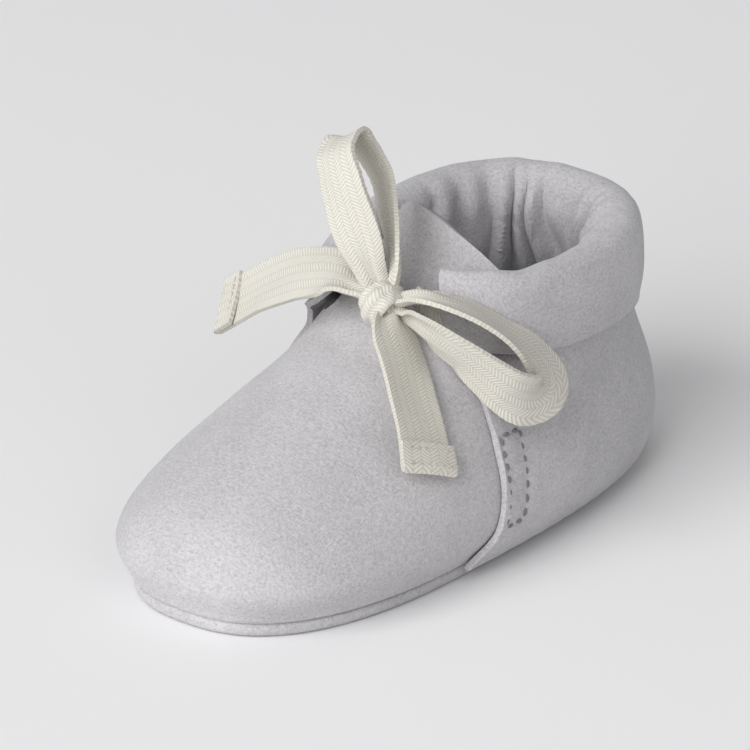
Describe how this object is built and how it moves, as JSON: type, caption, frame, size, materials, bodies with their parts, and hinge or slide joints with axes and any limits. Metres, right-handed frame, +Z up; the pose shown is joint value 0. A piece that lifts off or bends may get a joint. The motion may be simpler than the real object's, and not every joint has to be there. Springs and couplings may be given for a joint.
{
  "type": "baby bootie",
  "caption": "Soft baby bootie with a one-piece vamp and tongue, a wrap-round quarter, a fold-down cuff and a tape bow over the instep.",
  "frame": {"origin": "middle of the sole's flat underside", "axes": "+Z up, toe towards -Y, heel towards +Y, +X is the flank that the right bow loop lies on"},
  "size_m": [0.0722, 0.1127, 0.0677],
  "materials": {
    "brushed_cotton": "fine brushed nap, light warm-cool grey, matt",
    "lining_cotton": "plain cotton, grey, matt",
    "foam": "soft open foam, off-white",
    "elastic": "woven elastic, white",
    "sewing_thread": "spun thread, mid grey",
    "twill_tape": "herringbone cotton tape, natural cream, matt"
  },
  "bodies": {
    "root": {"outsole": "brushed_cotton", "sole_padding": "foam", "insole_lining": "lining_cotton", "vamp_outer": "brushed_cotton", "vamp_lining": "lining_cotton", "quarter_outer": "brushed_cotton", "quarter_lining": "lining_cotton", "cuff": "brushed_cotton", "heel_elastic": "elastic", "box_stitch_left": "sewing_thread", "box_stitch_right": "sewing_thread", "tie_strap_left": "twill_tape", "tie_strap_right": "twill_tape", "bow_knot": "twill_tape"},
    "tongue": {"tongue_outer": "brushed_cotton", "tongue_lining": "lining_cotton"},
    "left_loop": {"bow_loop_left": "twill_tape"},
    "right_loop": {"bow_loop_right": "twill_tape"},
    "left_tail": {"bow_tail_left": "twill_tape"},
    "right_tail": {"bow_tail_right": "twill_tape"}
  },
  "joints": [
    {"name": "tongue_fold", "type": "hinge", "parent": "root", "child": "tongue", "pos_m": [0, -0.0045, 0.0345], "axis": [-1, 0, 0], "range_deg": [0, 18], "stiffness_Nm_per_rad": 0.004},
    {"name": "left_loop_flop", "type": "hinge", "parent": "root", "child": "left_loop", "pos_m": [0.0014, -0.0062, 0.0446], "axis": [1, 0, 0], "range_deg": [-8, 15], "stiffness_Nm_per_rad": 0.0035},
    {"name": "right_loop_lift", "type": "hinge", "parent": "root", "child": "right_loop", "pos_m": [0.0074, -0.0056, 0.041], "axis": [0.0459, -0.8506, -0.5238], "range_deg": [0, 26]},
    {"name": "left_tail_lift", "type": "hinge", "parent": "root", "child": "left_tail", "pos_m": [-0.0018, -0.0076, 0.043], "axis": [0.0486, 0.9901, 0.1316], "range_deg": [0, 35]},
    {"name": "right_tail_lift", "type": "hinge", "parent": "root", "child": "right_tail", "pos_m": [0.0064, -0.0096, 0.0395], "axis": [-0.6254, -0.7732, -0.1056], "range_deg": [0, 22]}
  ]
}
